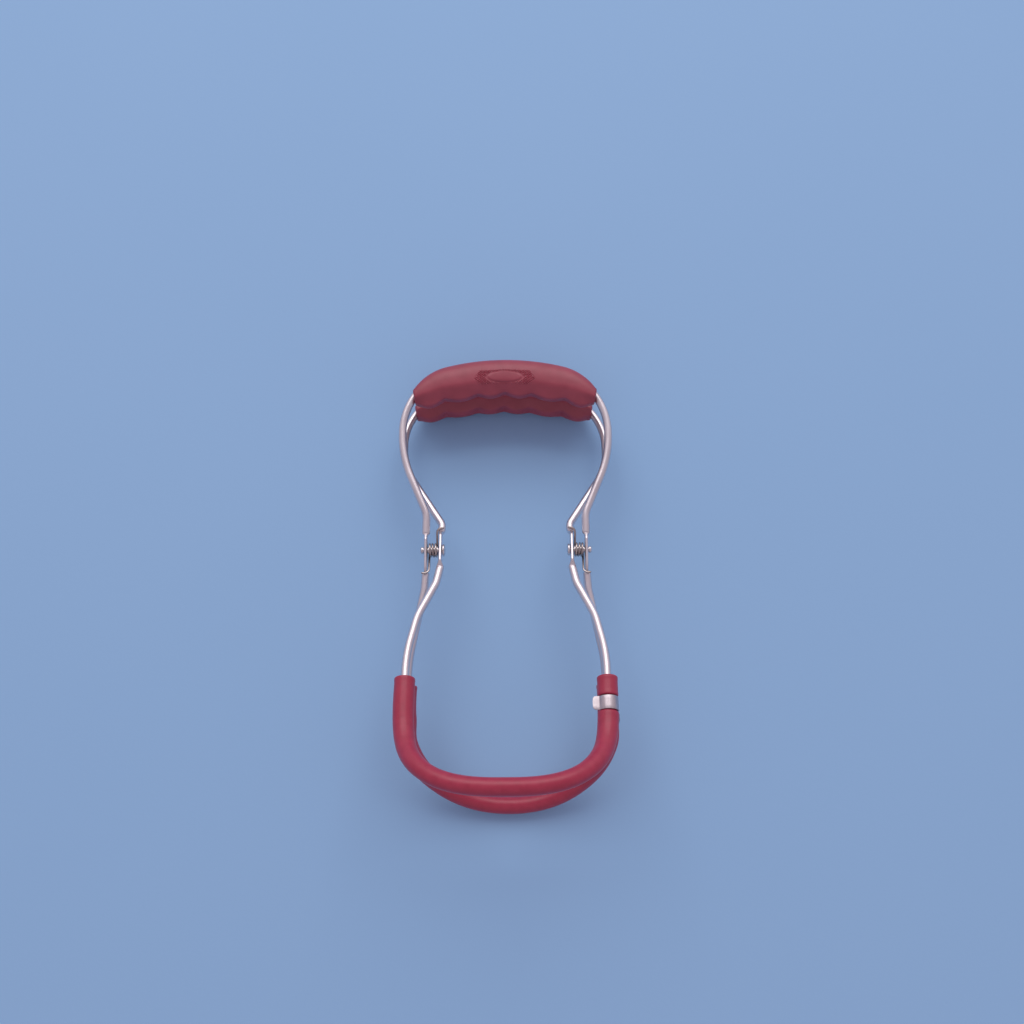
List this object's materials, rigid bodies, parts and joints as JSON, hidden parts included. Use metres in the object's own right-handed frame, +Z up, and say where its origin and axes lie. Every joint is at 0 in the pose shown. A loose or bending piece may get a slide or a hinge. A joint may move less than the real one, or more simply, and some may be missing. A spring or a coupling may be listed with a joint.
{
  "type": "jar lifter",
  "caption": "Scissor-action wire jar lifter with moulded finger grips, sprung riveted pivots, soft-sleeved jaws and a swivelling storage clip.",
  "frame": {"origin": "bottom centre of the bounding box, on the table that the tool lies on", "axes": "+Y from the jaws towards the handles along the tool's length, +X to the right across it, +Z up through its thin side"},
  "size_m": [0.1146, 0.238, 0.0814],
  "materials": {
    "drawn_steel": "drawn stainless wire, satin",
    "rivet_steel": "headed stainless steel, satin",
    "spring_steel": "hard-drawn spring wire, dark and smooth",
    "clip_steel": "rolled stainless strip, satin",
    "grip_plastic": "moulded grip, fine matte skin",
    "sleeve_vinyl": "soft vinyl sleeve, satin"
  },
  "bodies": {
    "outer_frame": {"outer_frame_wire": "drawn_steel", "front_grip": "grip_plastic", "back_jaw_sleeve": "sleeve_vinyl", "left_rivet": "rivet_steel", "right_rivet": "rivet_steel", "left_torsion_spring": "spring_steel", "right_torsion_spring": "spring_steel"},
    "inner_frame": {"inner_frame_wire": "drawn_steel", "back_grip": "grip_plastic", "front_jaw_sleeve": "sleeve_vinyl", "sleeve_collar": "sleeve_vinyl"},
    "clip": {"lock_clip": "clip_steel"}
  },
  "joints": [
    {"name": "main_hinge", "type": "hinge", "parent": "outer_frame", "child": "inner_frame", "pos_m": [0, 0.0149, 0.02953], "axis": [-1, 0, 0], "range_deg": [0, 36], "deforming": ["left_torsion_spring", "right_torsion_spring"]},
    {"name": "clip_swivel", "type": "hinge", "parent": "inner_frame", "child": "clip", "pos_m": [0.04982, -0.06737, 0.04838], "axis": [0, -0.9748, 0.2233], "range_deg": [0, 165]}
  ]
}
